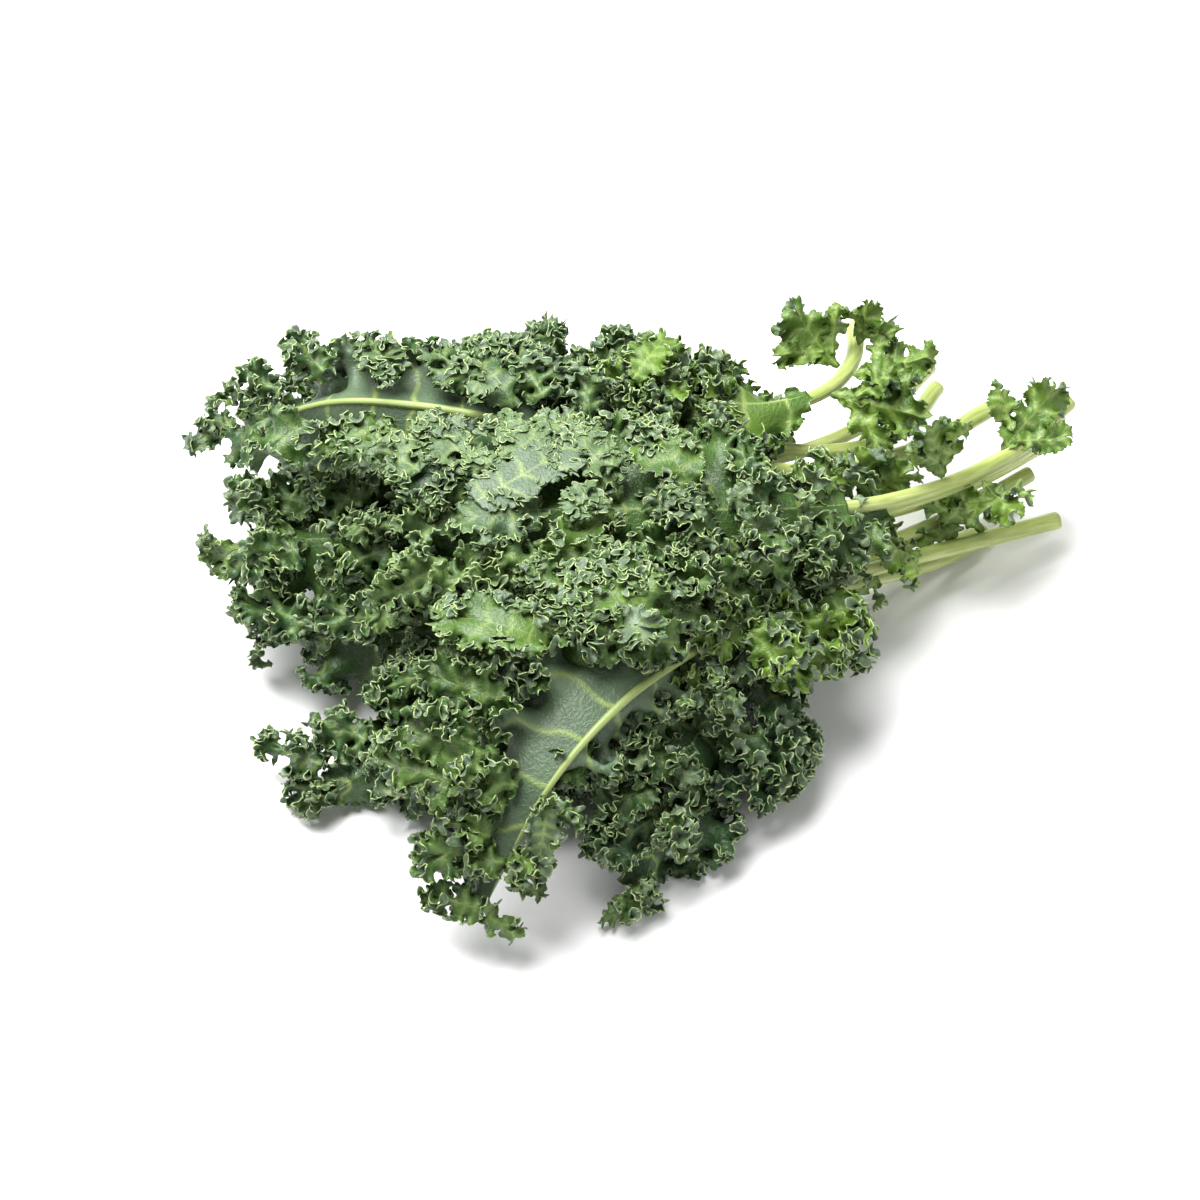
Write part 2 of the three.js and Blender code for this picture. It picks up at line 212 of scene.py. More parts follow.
class Curve:
    """A Catmull-Rom curve along a leaf's middle line, read by share of its length."""

    def __init__(self, leaf):
        p = leaf_points(leaf) + ORIGIN
        p = np.vstack([2 * p[0] - p[1], p, 2 * p[-1] - p[-2]])
        t = np.linspace(0, 1, 24, endpoint=False)[:, None]
        parts = []
        for a, b, c, d in zip(p, p[1:], p[2:], p[3:]):
            parts.append(0.5 * (2 * b + (c - a) * t + (2 * a - 5 * b + 4 * c - d) * t**2
                                + (3 * b - a - 3 * c + d) * t**3))
        self.points = np.vstack(parts + [p[-2:-1]])
        steps = np.linalg.norm(np.diff(self.points, axis=0), axis=1)
        self.at_mm = np.concatenate([[0], np.cumsum(steps)])
        self.length = self.at_mm[-1]

    def at(self, share):
        s = np.clip(share, 0, 1) * self.length
        return np.stack([np.interp(s, self.at_mm, self.points[:, k]) for k in range(3)], -1)

    def frame(self, share, outward):
        """Point, tangent, out and right at each share."""
        step = 4 / self.length
        along = unit(self.at(share + step) - self.at(share - step))
        out = np.array(outward, float)
        out = unit(out - (along @ out)[:, None] * along)
        return self.at(share), along, out, np.cross(along, out)


def stalk_radius(leaf, share):
    """It thins steadily from its cut end to the blade, then along the midrib to its tip."""
    at_cut, at_blade = leaf["radius"] * CUT_END_FLARE, leaf["radius"] * AT_BLADE
    bare = at_cut + (at_blade - at_cut) * share / leaf["start"]
    t = (share - leaf["start"]) / (1 - leaf["start"])
    return np.where(share < leaf["start"], bare, at_blade + (MIDRIB_TIP_RADIUS - at_blade) * t)


def blade_share(u):
    """Width along a blade: it narrows to its base, and rounds off past the midrib's tip."""
    return np.interp(u, (0, 0.1, 0.25, 0.45, 0.8, 1), (0.15, 0.35, 0.7, 1, 0.72, 0.1))


def stitch(a, b, ka, kb):
    """Triangles between two rows: a and b are neighbours in one, and ka and kb what they became
    in the next, with a new point between them where the gap grew too wide."""
    one, two = kb == ka + 1, kb != ka + 1
    rules = ((one, (a, b, ka)), (one, (b, kb, ka)), (two, (a, ka + 1, ka)), (two, (a, b, ka + 1)),
             (two, (b, kb, ka + 1)))
    return [np.stack(corners, -1)[rule] for rule, corners in rules]


def grow_half(base, side, width, reach, bends, waves, rng):
    """Grows half a sheet outwards from its vein, row by row. base holds the vein's points and
    its along, out and right directions. side is 1 for the right half. reach is how far each
    column grows, and bends the angles away from the visible face, from vein to margin.
    Returns points, triangles, and for each point its place along and its share across."""
    point, along, out, right = base
    count = len(point)
    u = np.linspace(0, 1, count)
    lean = np.radians(25 + 65 * u**1.6)[:, None]
    bend = np.radians(bends[0])
    d = right * side * np.cos(lean) + along * np.sin(lean)
    d = unit(d * np.cos(bend) - out * np.sin(bend))
    rows = max(4, int(width / ROW_STEP))
    mark = u.copy()
    phases, loud = np.zeros((2, len(waves), count))
    started = [False] * len(waves)
    angle, tooth = np.zeros((2, count))
    points, marks, triangles = [point], [mark], []
    first = 0
    for j in range(1, rows + 1):
        v = j / rows
        n = len(point)
        t = np.empty_like(point)
        t[1:-1] = point[2:] - point[:-2]
        t[0], t[-1] = point[1] - point[0], point[-1] - point[-2]
        t = unit(t)
        t[1:-1] = unit(t[2:] + 2 * t[1:-1] + t[:-2])
        d = unit(d - 0.35 * np.sum(d * t, -1, keepdims=True) * t)
        up = unit(-side * np.cross(t, d))
        run = np.concatenate([[0], np.cumsum(np.linalg.norm(np.diff(point, axis=0), axis=1))])
        target = np.zeros(n)
        for k, (wavelength, depth, steep) in enumerate(waves):
            beyond = v * width - (width - depth)
            if beyond < 0:
                continue
            if not started[k]:
                started[k] = True
                phases[k] = 2 * np.pi * (run / wavelength + rng.random())
                phases[k] += 3 * smooth_noise(rng, run, wavelength * 1.2)
                loud[k] = 1 + 0.5 * smooth_noise(rng, run, wavelength * 1.7)
                if k == len(waves) - 1:
                    tooth = 0.9 - 2 * np.abs(np.sin(0.6 * phases[k])) ** 0.9
                    tooth += 0.7 * smooth_noise(rng, run, wavelength * 0.7)
            rise = min(1, beyond / (0.4 * wavelength))
            target += steep * loud[k] * (3 - 2 * rise) * rise**2 * np.sin(phases[k])
        step = reach / rows
        if started[-1]:
            step = step * np.maximum(0.15, 1 + 0.6 * tooth)
        now, before = (np.interp(place, BENDS_AT, bends) for place in (v, v - 1 / rows))
        base_bend = np.radians(now - before)
        turn = (target - angle - base_bend)[:, None]
        angle = target
        d = unit(d * np.cos(turn) + up * np.sin(turn))
        new = point + d * step[:, None]
        # slight evening of the row keeps neighbouring columns from crossing
        new[1:-1] += 0.125 * (new[2:] - 2 * new[1:-1] + new[:-2])

        limit = COLUMN_GAP[0] + (COLUMN_GAP[1] - COLUMN_GAP[0]) * min(1, v * 1.3)
        wide = np.where(np.linalg.norm(np.diff(new, axis=0), axis=1) > limit)[0] + 1

        def fill(a):
            return np.insert(a, wide, 0.5 * (a[wide - 1] + a[wide]), axis=0)

        kept = np.arange(n) + np.searchsorted(wide, np.arange(n), side="right")
        a, b = first + np.arange(n - 1), first + np.arange(1, n)
        ka, kb = first + n + kept[:-1], first + n + kept[1:]
        triangles += stitch(a, b, ka, kb)
        point, d = fill(new), unit(fill(d))
        reach, mark, angle, tooth = map(fill, (reach, mark, angle, tooth))
        phases, loud = fill(phases.T).T, fill(loud.T).T
        points.append(point)
        marks.append(mark)
        first += n
    faces = np.vstack(triangles)
    if side > 0:
        faces = faces[:, ::-1]
    across = np.concatenate([np.full(len(p), i / rows) for i, p in enumerate(points)])
    return np.vstack(points), faces, np.concatenate(marks), across


def grow_sheet(base, halves, reach_of, waves, rng):
    """Both halves, joined along the vein. halves holds a width and bends for left and right."""
    left, right = [
        grow_half(base, side, width, width * reach_of(), bends, waves, rng)
        for side, (width, *bends) in zip((-1, 1), halves)
    ]
    count, n = len(base[0]), len(left[0])
    length = np.linalg.norm(np.diff(base[0], axis=0), axis=1).sum()
    faces = np.where(right[1] < count, right[1], right[1] - count + n)
    widths = np.concatenate([np.full(n, halves[0][0]), np.full(len(right[0]) - count, halves[1][0])])
    signs = np.concatenate([np.full(n, -1.0), np.full(len(right[0]) - count, 1.0)])
    return dict(
        points=np.vstack([left[0], right[0][count:]]),
        faces=np.vstack([left[1], faces]),
        along=np.concatenate([left[2], right[2][count:]]),
        across=np.concatenate([left[3], right[3][count:]]) * signs,
        to_margin=(1 - np.concatenate([left[3], right[3][count:]])) * widths,
        length=length,
        width=max(halves[0][0], halves[1][0]),
        veins=np.arange(0.1, 1, np.clip(23 / length, 0.09, 0.2)),
    )


def rest_height(z):
    """Presses what would sink through the surface up onto it, and the heap's top down."""
    room = PRESS_BELOW - LOWEST
    low = LOWEST + room * np.exp((np.minimum(z, PRESS_BELOW) - PRESS_BELOW) / room)
    over = np.maximum(z, PRESS_ABOVE) - PRESS_ABOVE
    high = PRESS_ABOVE + PRESS_ROOM * (1 - np.exp(-over / PRESS_ROOM))
    return np.where(z < PRESS_BELOW, low, np.where(z > PRESS_ABOVE, high, z))


def vertex_normals(points, faces):
    a, b, c = (points[faces[:, k]] for k in range(3))
    face = np.cross(b - a, c - a)
    total = np.zeros_like(points)
    for k in range(3):
        np.add.at(total, faces[:, k], face)
    return unit(total)


def thicken(points, faces, thickness):
    """Turns a sheet into a closed thin body: the top's points come first, then the bottom's."""
    normal = vertex_normals(points, faces)
    n = len(points)
    both = np.vstack([points + normal * thickness / 2, points - normal * thickness / 2])
    a, b = faces.ravel(), np.roll(faces, -1, axis=1).ravel()
    edge = ~np.isin(a.astype(np.int64) * n + b, b.astype(np.int64) * n + a)
    a, b = a[edge], b[edge]
    rim = np.vstack([np.stack([b, a, a + n], -1), np.stack([b, a + n, b + n], -1)])
    return both, np.vstack([faces, faces[:, ::-1] + n, rim])


def new_mesh(name, points, faces, attributes=None, uv=None):
    mesh = bpy.data.meshes.new(name)
    mesh.vertices.add(len(points))
    mesh.vertices.foreach_set("co", (points * MM).astype(np.float32).ravel())
    mesh.loops.add(faces.size)
    mesh.loops.foreach_set("vertex_index", faces.astype(np.int32).ravel())
    mesh.polygons.add(len(faces))
    mesh.polygons.foreach_set("loop_start", np.arange(0, faces.size, 3, dtype=np.int32))
    mesh.polygons.foreach_set("use_smooth", np.ones(len(faces), dtype=bool))
    mesh.update(calc_edges=True)
    for key, values in (attributes or {}).items():
        mesh.attributes.new(key, "FLOAT", "POINT").data.foreach_set("value", values.astype(np.float32))
    if uv is not None:
        layer = mesh.uv_layers.new(name="OFBake")
        layer.data.foreach_set("uv", uv.astype(np.float32).ravel())
    obj = bpy.data.objects.new(name, mesh)
    bpy.context.scene.collection.objects.link(obj)
    return obj


# ---- Materials ----
def node(tree, kind, **values):
    made = tree.nodes.new(kind)
    for key, value in values.items():
        if key.startswith("in_"):
            made.inputs[key[3:].replace("_", " ")].default_value = value
        else:
            setattr(made, key, value)
    return made


def attribute(tree, name):
    return node(tree, "ShaderNodeAttribute", attribute_name=name).outputs["Fac"]


def ramp(tree, source, stops):
    made = tree.nodes.new("ShaderNodeValToRGB")
    tree.links.new(source, made.inputs["Fac"])
    ramp = made.color_ramp
    while len(ramp.elements) < len(stops):
        ramp.elements.new(0.5)
    for element, (position, colour) in zip(ramp.elements, stops):
        element.position = position
        element.color = (*colour, 1)
    return made.outputs["Color"]


def mix(tree, factor, a, b, blend="MIX"):
    made = tree.nodes.new("ShaderNodeMix")
    made.data_type, made.blend_type = "RGBA", blend
    for socket, value in (("Factor", factor), ("A", a), ("B", b)):
        slots = [s for s in made.inputs if s.name == socket and (socket == "Factor" or s.type == "RGBA")]
        target = slots[0]
        if isinstance(value, bpy.types.NodeSocket):
            tree.links.new(value, target)
        elif socket == "Factor":
            target.default_value = value
        else:
            target.default_value = (*value, 1)
    return [s for s in made.outputs if s.type == "RGBA"][0]


def texture(tree, kind, place, **values):
    made = node(tree, kind, **values)
    tree.links.new(place, made.inputs["Vector"])
    return made


def leaf_material(name):
    """Dark blue-green on top, grey-green below, with pale veins, and pale margins that are partly the leaf's
    own paler edge and partly a painted highlight. The top is lighter and yellower for young leaves, and
    darker for old ones and, as painted shade, for the deeper leaves.
    """
    material = bpy.data.materials.new(name)
    material.use_nodes = True
    tree = material.node_tree
    shader = tree.nodes["Principled BSDF"]
    place = node(tree, "ShaderNodeTexCoord").outputs["Object"]
    patches = texture(tree, "ShaderNodeTexNoise", place, in_Scale=34, in_Detail=4).outputs["Fac"]
    # Painted shade in part: the top runs from a dark green for old leaves to a lighter yellow-green for
    # young ones, and the deeper leaves are given low values so that they come out darker.
    old_and_shaded = ramp(tree, patches, [(0.3, (0.010, 0.036, 0.012)), (0.7, (0.036, 0.090, 0.028))])
    fresh = ramp(tree, patches, [(0.3, (0.045, 0.110, 0.010)), (0.7, (0.13, 0.225, 0.020))])
    top = mix(tree, attribute(tree, "young"), old_and_shaded, fresh)
    below = ramp(tree, patches, [(0.3, (0.062, 0.100, 0.058)), (0.7, (0.105, 0.155, 0.092))])
    body = mix(tree, attribute(tree, "under"), top, below)
    warp = texture(tree, "ShaderNodeTexNoise", place, in_Scale=90, in_Detail=2).outputs["Color"]
    bent = mix(tree, 0.012, place, warp)
    cells = texture(tree, "ShaderNodeTexVoronoi", bent, feature="DISTANCE_TO_EDGE", in_Scale=290)
    net = ramp(tree, cells.outputs["Distance"], [(0.0, (1, 1, 1)), (0.14, (0, 0, 0))])
    faint = node(tree, "ShaderNodeMath", operation="MULTIPLY")
    tree.links.new(net, faint.inputs[0])
    faint.inputs[1].default_value = 0.2
    body = mix(tree, faint.outputs[0], body, (0.13, 0.21, 0.06))
    body = mix(tree, attribute(tree, "vein"), body, (0.27, 0.36, 0.10))
    rim_and_highlight_patches = texture(tree, "ShaderNodeTexNoise", place, in_Scale=260, in_Detail=3).outputs["Fac"]
    pale_rim_and_highlight = node(tree, "ShaderNodeMath", operation="MULTIPLY")
    # Pale margin colour in a thin, patchy band at the rim: partly the leaf's own paler edge, partly a
    # painted highlight.
    margin = ramp(tree, attribute(tree, "rim"), [(0.55, (0, 0, 0)), (1.0, (1, 1, 1))])
    tree.links.new(margin, pale_rim_and_highlight.inputs[0])
    tree.links.new(ramp(tree, rim_and_highlight_patches, [(0.42, (0.05,) * 3), (0.6, (1, 1, 1))]), pale_rim_and_highlight.inputs[1])
    body = mix(tree, pale_rim_and_highlight.outputs[0], body, (0.42, 0.52, 0.22))
    tree.links.new(body, shader.inputs["Base Color"])
    wrinkles = texture(tree, "ShaderNodeTexNoise", place, in_Scale=520, in_Detail=2).outputs["Fac"]
    height = mix(tree, 0.8, net, wrinkles)
    bump = node(tree, "ShaderNodeBump", in_Strength=0.6, in_Distance=0.0009)
    tree.links.new(height, bump.inputs["Height"])
    tree.links.new(bump.outputs["Normal"], shader.inputs["Normal"])
    shader.inputs["Roughness"].default_value = 0.42
    shader.inputs["Specular IOR Level"].default_value = 0.4
    return material


def stalk_material(name):
    material = bpy.data.materials.new(name)
    material.use_nodes = True
    tree = material.node_tree
    shader = tree.nodes["Principled BSDF"]
    place = node(tree, "ShaderNodeTexCoord").outputs["Object"]
    grain = node(tree, "ShaderNodeCombineXYZ")
    for key, socket in (("round_x", "X"), ("round_y", "Y"), ("run", "Z")):
        tree.links.new(attribute(tree, key), grain.inputs[socket])
    patches = texture(tree, "ShaderNodeTexNoise", place, in_Scale=40, in_Detail=3).outputs["Fac"]
    streaks = texture(tree, "ShaderNodeTexNoise", grain.outputs[0], in_Scale=2.5, in_Detail=3).outputs["Fac"]
    colour = ramp(tree, mix(tree, 0.6, patches, streaks), [
        (0.36, (0.27, 0.35, 0.085)), (0.5, (0.38, 0.45, 0.14)), (0.64, (0.50, 0.54, 0.24))])
    colour = mix(tree, attribute(tree, "midrib"), colour, (0.25, 0.33, 0.10))
    colour = mix(tree, attribute(tree, "cut"), colour, (0.56, 0.55, 0.36))
    tree.links.new(colour, shader.inputs["Base Color"])
    bump = node(tree, "ShaderNodeBump", in_Strength=0.3, in_Distance=0.0006)
    tree.links.new(streaks, bump.inputs["Height"])
    tree.links.new(bump.outputs["Normal"], shader.inputs["Normal"])
    shader.inputs["Roughness"].default_value = 0.4
    return material


GREEN = leaf_material("kale_leaf")
STALK = stalk_material("kale_stalk")


# ---- Pieces ----
def vein_relief(sheet):
    """How far each point is on a vein, from 0 to 1: side veins run outwards from the middle."""
    out = np.abs(sheet["across"])
    place = sheet["along"] - 0.05 * out**1.5 + 0.006 * np.sin(9 * out + 40 * sheet["along"])
    spread = np.abs(place[:, None] - sheet["veins"][None]) * sheet["length"]
    side = np.exp(-(spread.min(axis=1) / 1.1) ** 2) * np.clip(1.1 - out, 0, 1)
    middle = np.exp(-(out * sheet["width"] / 0.8) ** 2)
    return np.maximum(side, middle * (1 - 0.8 * sheet["along"])) * sheet.get("vein_strength", 1)


def sheet_map(sheet, closed, number, count):
    """A flat map for each corner of a closed sheet, in its own two cells of the piece's square:
    the first sheet has the left part, and the others share the right. Its rim has no width."""
    n = len(sheet["points"])
    flat = 0.02 + 0.96 * np.stack([sheet["along"], (sheet["across"] + 1) / 2], -1)
    grid = math.ceil(math.sqrt(2 * (count - 1))) if count > 1 else 1
    left = 0.3 if count > 1 else 1.0
    both = []
    for back in (0, 1):
        if number == 0:
            both.append(flat * (left, 0.5) + (0, 0.5 * back))
        else:
            cell = 2 * (number - 1) + back
            corner = np.array([left + (1 - left) * (cell % grid) / grid, cell // grid / grid])
            both.append(corner + flat * ((1 - left) / grid, 1 / grid))
    corners = closed.copy()
    corners[2 * len(sheet["faces"]):] %= n
    return np.vstack(both)[corners.ravel()]


def leaf_mesh(name, sheets, under, young=0.3, rim=1.0):
    """One piece from grown sheets. under is 1 where their visible face is the leaf's back,
    young is how yellow and light the leaf is, partly its own tone and partly painted
    shade, and rim how pale its margin is, partly its own paler edge and partly a painted highlight."""
    parts, faces, maps, values = [], [], [], {"under": [], "rim": [], "vein": [], "young": []}
    first = 0
    for sheet in sheets:
        flipped = sheet.get("under", under)
        vein = vein_relief(sheet)
        points = sheet["points"] + vertex_normals(sheet["points"], sheet["faces"]) * (
            vein * (0.35 if flipped else -0.2))[:, None]
        both, closed = thicken(points, sheet["faces"], SHEET)
        n = len(points)
        parts.append(both)
        faces.append(closed + first)
        first += 2 * n
        maps.append(sheet_map(sheet, closed, len(faces) - 1, len(sheets)))
        values["under"].append(np.repeat([flipped, 1 - flipped], n))
        values["rim"].append(np.tile(rim * np.clip((1.1 - sheet["to_margin"]) / 0.9, 0, 1), 2))
        values["vein"].append(np.tile(vein, 2))
        values["young"].append(np.full(2 * n, sheet.get("young", young)))
    points = np.vstack(parts)
    points[:, 2] = rest_height(points[:, 2])
    faces = np.vstack(faces)
    values = {key: np.concatenate(value) for key, value in values.items()}
    obj = new_mesh(name, points, faces, values, np.vstack(maps))
    obj.data.materials.append(GREEN)
    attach(obj, "root")
    return obj


def blade_sheet(leaf, curve, rng):
    length = curve.length * (1 - leaf["start"])
    u = np.linspace(0, 1, int(length / COLUMN_GAP[0]))
    share = leaf["start"] + (1 - leaf["start"]) * u
    point, along, out, right = curve.frame(share, leaf["out"])
    radius = stalk_radius(leaf, share)[:, None]
    proud = np.interp(u, (0, 0.6, 1), (-0.2, -0.1, 1.2)) if leaf["under"] else np.full(len(u), 1.1)
    point = point + out * radius * proud[:, None]

    def reach():
        lobes = 1 + 0.16 * smooth_noise(rng, u * length, 24) + 0.1 * smooth_noise(rng, u * length, 11)
        return blade_share(u) * lobes

    return grow_sheet((point, along, out, right), (leaf["left"], leaf["right"]), reach, BLADE_WAVES, rng)


def lobe_sheet(leaf, curve, side, u, size, folded, rng):
    """A side lobe with its own vein, which arches up from the midrib and falls outwards, or when
    folded rolls inwards over the midrib."""
    share = leaf["start"] + (1 - leaf["start"]) * u
    point, along, out, right = (x[0] for x in curve.frame(np.array([share]), leaf["out"]))
    radius = stalk_radius(leaf, share)
    lean = math.radians(15 + 60 * u**1.3 + rng.uniform(-14, 14))
    ahead = unit(right * side * math.cos(lean) + along * math.sin(lean))
    across = np.cross(ahead, out)
    steps = max(6, int(size / COLUMN_GAP[0]))
    t = np.linspace(0, 1, steps)
    if folded:
        pitch = np.radians(rng.uniform(50, 75) + rng.uniform(60, 100) * t)
    else:
        low, high = leaf.get("rise", (25, 65))
        pitch = np.radians(rng.uniform(low, high) - rng.uniform(60, 125) * t**1.3)
    sway = np.radians(rng.uniform(-30, 30) * t)
    flat = ahead * np.cos(sway)[:, None] + across * np.sin(sway)[:, None]
    way = flat * np.cos(pitch)[:, None] + out * np.sin(pitch)[:, None]
    face = unit(out * np.cos(pitch)[:, None] - flat * np.sin(pitch)[:, None])
    start = point + out * radius * 1.1 + ahead * np.interp(u, *leaf.get("root", ((0, 1), (3, 1))))
    vein = start + np.cumsum(way, axis=0) * size / steps
    width = size * rng.uniform(0.36, 0.5)
    waves = FAN if rng.random() < FAN_CHANCE else FRILLY
    halves = [(width, rng.uniform(-20, 10), rng.uniform(-20, 30), rng.uniform(-50, 30)) for _ in (0, 1)]

    def reach():
        noise = 1 + 0.2 * smooth_noise(rng, t * size, 9)
        return np.interp(t, (0, 0.2, 0.6, 0.85, 1), (0.15, 0.5, 1, 0.95, 0.7)) * noise

    sheet = grow_sheet((vein, way, face, np.cross(way, face)), halves, reach, waves, rng)
    under, young = leaf.get("pale", 0.0) * (u > 0.5), leaf["young"] + rng.uniform(-0.2, 0.25)
    sheet.update(under=under, vein_strength=0.45, young=young)
    return sheet


def tuft(curve, leaf, row, share, rng):
    """One loose lobe of a row, which starts beside its leaf's midrib and lies over the heap."""
    side, _, _, offset, lift, lean, length, width, under, young, waves = row
    point, along, out, right = (x[0] for x in curve.frame(np.array([share]), leaf["out"]))
    turn = math.radians(lean + rng.uniform(-10, 10))
    ahead = right * side * math.cos(turn) + along * math.sin(turn)
    a = point + right * side * offset + out * lift
    b = a + (ahead - out * TUFT_FALL) * length * rng.uniform(0.9, 1.1)
    length = np.linalg.norm(b - a)
    t = np.linspace(0, 1, max(8, int(length / COLUMN_GAP[0])))
    face = unit(np.array(FACE) + rng.uniform(-0.15, 0.15, 3))
    vein = a + (b - a) * t[:, None] + face * (TUFT_ARCH * length * np.sin(math.pi * t))[:, None]
    way = unit(np.gradient(vein, axis=0))
    up = unit(face - np.sum(face * way, -1, keepdims=True) * way)
    halves = [(width, rng.uniform(-10, 0), rng.uniform(10, 25), rng.uniform(-20, 30)) for _ in (0, 1)]

    def reach():
        noise = 1 + 0.2 * smooth_noise(rng, t * length, 9)
        return np.interp(t, (0, 0.2, 0.6, 0.85, 1), (0.6, 0.9, 1, 0.95, 0.8)) * noise

    sheet = grow_sheet((vein, way, up, np.cross(way, up)), halves, reach, waves, rng)
    sheet.update(under=float(under), young=young, vein_strength=0.45 if waves is FRILLY else 0.75)
    return sheet


def inside(u, zones):
    return any(low <= u <= high for low, high in zones)


def build_blade(key, leaf, seed):
    curve = Curve(leaf)
    rng = np.random.default_rng(seed)
    sheets = [blade_sheet(leaf, curve, rng)]
    young = leaf["young"] + rng.uniform(-0.1, 0.1)
    for side, half in ((-1, "left"), (1, "right")):
        width = leaf[half][0]
        zones, folds = leaf.get("lobes_" + half, ((0, 1),)), leaf.get("folded", ((0, 1),))
        for u in LOBE_PLACES + rng.uniform(-0.03, 0.03):
            size = width * np.interp(u, (0, 0.4, 1), (0.4, 0.85, 0.42))
            if inside(u, zones):
                full = size * rng.uniform(0.85, 1.1)
                sheets.append(lobe_sheet(leaf, curve, side, u, full, False, rng))
            if inside(u, folds):
                small = size * rng.uniform(0.5, 0.65)
                sheets.append(lobe_sheet(leaf, curve, side, min(1, u + 0.07), small, True, rng))
    for owner, *row in TUFT_ROWS:
        if owner == key:
            (first, last), count = row[1:3]
            sheets += [tuft(curve, leaf, row, share, rng) for share in np.linspace(first, last, count)]
    obj = leaf_mesh(f"{key}_blade", sheets, 1.0 if leaf["under"] else 0.0, young)
    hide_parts(f"leaf_{key}_blade")


def leaflet_lobe(start, ahead, face, length, width, rng):
    """One of the three lobes of a leaflet, which rises a little and then curls down."""
    t = np.linspace(0, 1, max(8, int(length / 1.6)))
    pitch = np.radians(15 - rng.uniform(20, 45) * t)[:, None]
    way = ahead * np.cos(pitch) - face * np.sin(pitch)
    up = face * np.cos(pitch) + ahead * np.sin(pitch)
    vein = start + np.cumsum(way, axis=0) * length / len(t)
    halves = [(width, rng.uniform(-10, 20), rng.uniform(0, 30), rng.uniform(-30, 40)) for _ in (0, 1)]

    def reach():
        noise = 1 + 0.35 * smooth_noise(rng, t * length, 6)
        return np.interp(t, (0, 0.15, 0.6, 0.85, 1), (0.1, 0.35, 1, 0.9, 0.6)) * noise

    return grow_sheet((vein, way, up, np.cross(way, up)), halves, reach, LEAFLET_WAVES, rng)


def build_leaflet(number, key, at, around, forward, length, width):
    """A small frilly leaf beside a bare stalk. at is a share of the stalk's path, around the
    angle about it from its out side, and forward the lean towards the leaf's tip."""
    leaf, rng = LEAVES[key], np.random.default_rng(50 + number)
    point, along, out, right = (x[0] for x in Curve(leaf).frame(np.array([at]), leaf["out"]))
    a, b = math.radians(around), math.radians(forward)
    away = out * math.cos(a) + right * math.sin(a)
    ahead = away * math.cos(b) + along * math.sin(b)
    face = np.array(FACE) + rng.uniform(-0.35, 0.35, 3)
    face = unit(face - (face @ ahead) * ahead)
    root = point + away * stalk_radius(leaf, at) * 0.8
    side = np.cross(ahead, face)
    sheets = []
    for turn, place, size in ((0, 0, 1), (-48, 0.3, 0.6), (44, 0.2, 0.65)):
        a = math.radians(turn + rng.uniform(-8, 8))
        start = root + ahead * length * place
        sheets.append(leaflet_lobe(start, ahead * math.cos(a) + side * math.sin(a), face,
                                   length * size, width * (0.4 + 0.6 * size), rng))
    obj = leaf_mesh(f"leaflet_{number}_frill", sheets, 0.0, young=1.35, rim=0.35)
    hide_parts(f"leaflet_{number}")


def build_stalk(key, leaf):
    """A round, faintly ridged stalk with its own map: walls unrolled, and a disc for each end."""
    curve = Curve(leaf)
    share = np.linspace(0, STALK_REACH, int(curve.length / STALK_RING))
    point, along, out, right = curve.frame(share, leaf["out"])
    radius = stalk_radius(leaf, share)[:, None]
    sides = STALK_SIDES
    rings = []
    for k in range(sides):
        a = 2 * math.pi * k / sides
        ridge = 1 + 0.03 * math.cos(5 * a)
        rings.append(point + radius * ridge * (right * math.cos(a) + out * math.sin(a)))
    points = np.stack(rings, 1).reshape(-1, 3)
    n = len(share)
    i, k = np.meshgrid(np.arange(n - 1), np.arange(sides), indexing="ij")
    a, b = i * sides + k, i * sides + (k + 1) % sides
    faces = np.vstack([np.stack([a, b, b + sides], -1).reshape(-1, 3),
                       np.stack([a, b + sides, a + sides], -1).reshape(-1, 3)])
    ends = np.array([point[0], point[-1]])
    c = len(points)
    ring = np.arange(sides)
    nxt = (ring + 1) % sides
    last = (n - 1) * sides
    caps = np.vstack([np.stack([np.full(sides, c), nxt, ring], -1),
                      np.stack([np.full(sides, c + 1), last + ring, last + nxt], -1)])
    turn = np.tile(2 * math.pi * np.arange(sides) / sides, n)
    midrib = 0.75 * np.clip((share - leaf["start"]) / 0.15 + 0.2, 0, 1)
    values = {
        "round_x": np.append(np.cos(turn), [0, 0]),
        "round_y": np.append(np.sin(turn), [0, 0]),
        "run": np.append(np.repeat(share * curve.length / 45, sides), [0, 0]),
        "midrib": np.append(np.repeat(midrib, sides), [0, 1]),
        "cut": np.append(np.zeros(n * sides), [1, 0]),
    }
    turns, runs = k / sides, i / (n - 1) * 0.9
    nxt_turn, nxt_run = (k + 1) / sides, (i + 1) / (n - 1) * 0.9
    uv = [np.stack(corner, -1) for corner in ((turns, runs), (nxt_turn, runs), (nxt_turn, nxt_run),
                                              (turns, nxt_run))]
    walls = [np.stack([uv[q] for q in rule], -2).reshape(-1, 2) for rule in ((0, 1, 2), (0, 2, 3))]
    wheel = np.stack([np.cos(2 * math.pi * ring / sides), np.sin(2 * math.pi * ring / sides)], -1)
    disc = np.stack([np.zeros((sides, 2)), np.roll(wheel, -1, axis=0), wheel], 1).reshape(-1, 2) * 0.04
    uv = np.vstack(walls + [disc + (0.1, 0.95), disc + (0.3, 0.95)])
    obj = new_mesh(f"{key}_stalk", np.vstack([points, ends]), np.vstack([faces, caps]), values, uv)
    obj.data.materials.append(STALK)
    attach(obj, "root")
    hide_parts(f"leaf_{key}_stalk")


for seed, (key, leaf) in enumerate(LEAVES.items(), start=3):
    build_blade(key, leaf, seed)
    build_stalk(key, leaf)

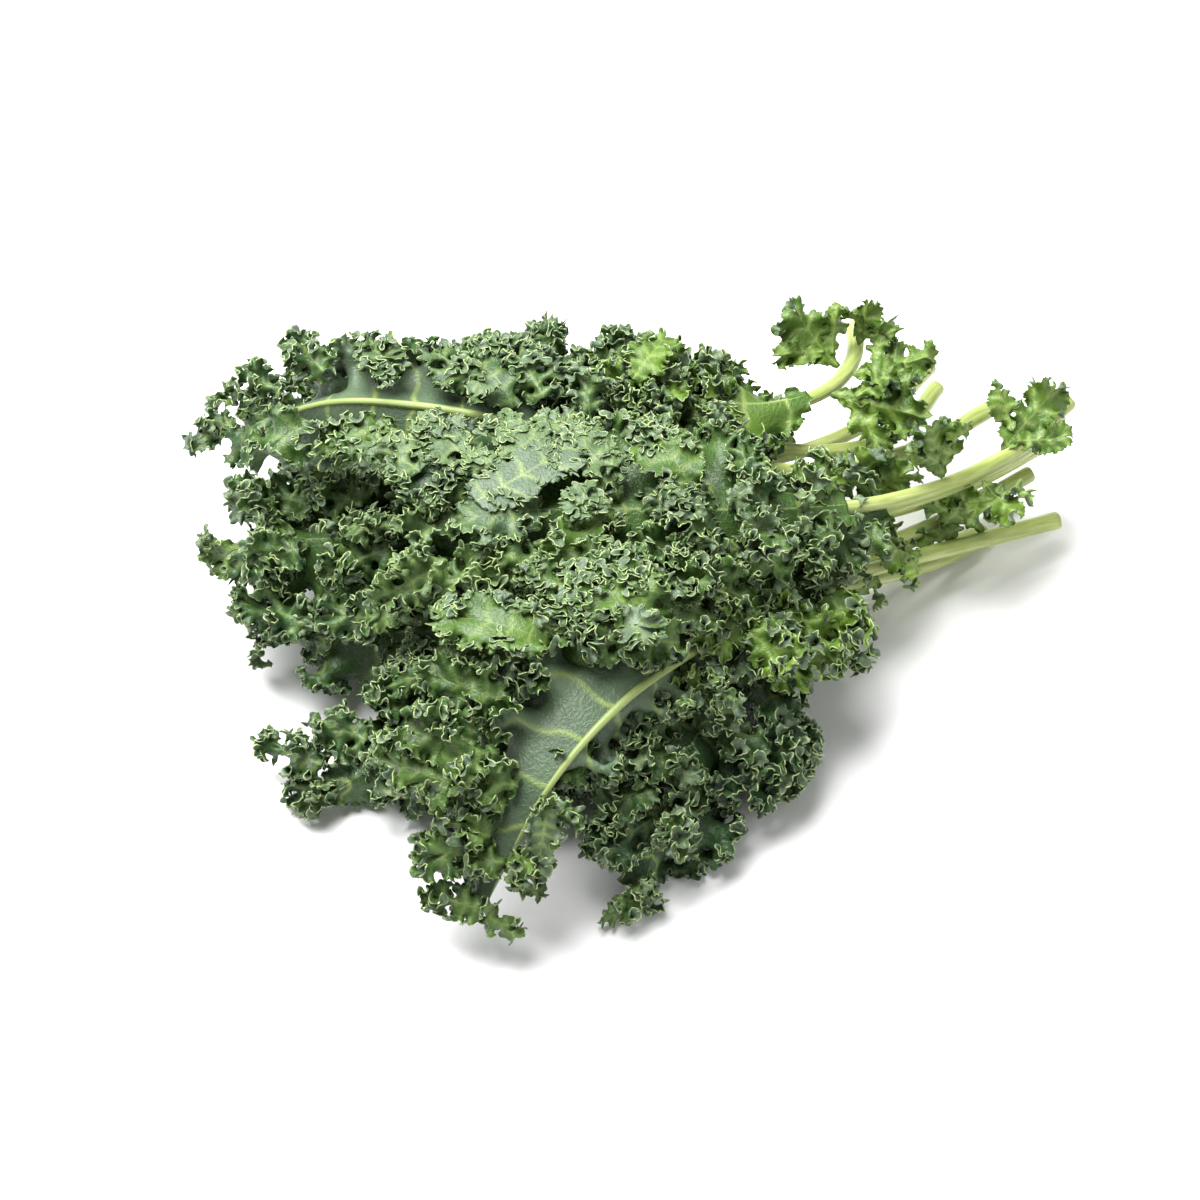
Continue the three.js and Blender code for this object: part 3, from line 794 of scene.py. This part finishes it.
for leaflet in LEAFLETS:
    build_leaflet(*leaflet)

# ---- Setting ----
def soft_light(name, place, aim, size, power):
    light = bpy.data.lights.new(name, "AREA")
    light.size, light.energy = size, power
    obj = bpy.data.objects.new(name, light)
    obj.location = place
    obj.rotation_euler = (Vector(aim) - Vector(place)).to_track_quat("-Z", "Y").to_euler()
    bpy.context.scene.collection.objects.link(obj)


def paper_floor():
    mesh = bpy.data.meshes.new("floor")
    r = 6
    mesh.from_pydata([(-r, -r, 0), (r, -r, 0), (r, r, 0), (-r, r, 0)], [], [(0, 1, 2, 3)])
    obj = bpy.data.objects.new("floor", mesh)
    bpy.context.scene.collection.objects.link(obj)
    material = bpy.data.materials.new("floor_paper")
    material.use_nodes = True
    shader = material.node_tree.nodes["Principled BSDF"]
    shader.inputs["Base Color"].default_value = (0.9, 0.9, 0.9, 1)
    shader.inputs["Roughness"].default_value = 0.9
    mesh.materials.append(material)


MIDDLE = (0, 0, 0.05)  # of the bunch, where the lights point
ROOM_LIGHT = 0.26
paper_floor()
soft_light("key", (-0.5, 0.45, 1.5), MIDDLE, 1.4, 86)
soft_light("fill", (1.2, -0.9, 1.0), MIDDLE, 1.5, 8)
world = bpy.data.worlds.new("pale_room")
world.use_nodes = True
world.node_tree.nodes["Background"].inputs["Color"].default_value = (1, 1, 1, 1)
world.node_tree.nodes["Background"].inputs["Strength"].default_value = ROOM_LIGHT
bpy.context.scene.world = world

CAMERA_DISTANCE = 1.5
ELEVATION = math.radians(50)
AIM = Vector((ORIGIN + (-14.5, 0, 75)) * MM)
camera_data = bpy.data.cameras.new("camera")
camera_data.lens, camera_data.sensor_width = 90, 36
camera = bpy.data.objects.new("camera", camera_data)
away = Vector((0, -math.cos(ELEVATION), math.sin(ELEVATION)))
camera.location = AIM + away * CAMERA_DISTANCE
camera.rotation_euler = (-away).to_track_quat("-Z", "Y").to_euler()
bpy.context.scene.collection.objects.link(camera)
bpy.context.scene.camera = camera
bpy.context.scene.view_settings.view_transform = "Standard"
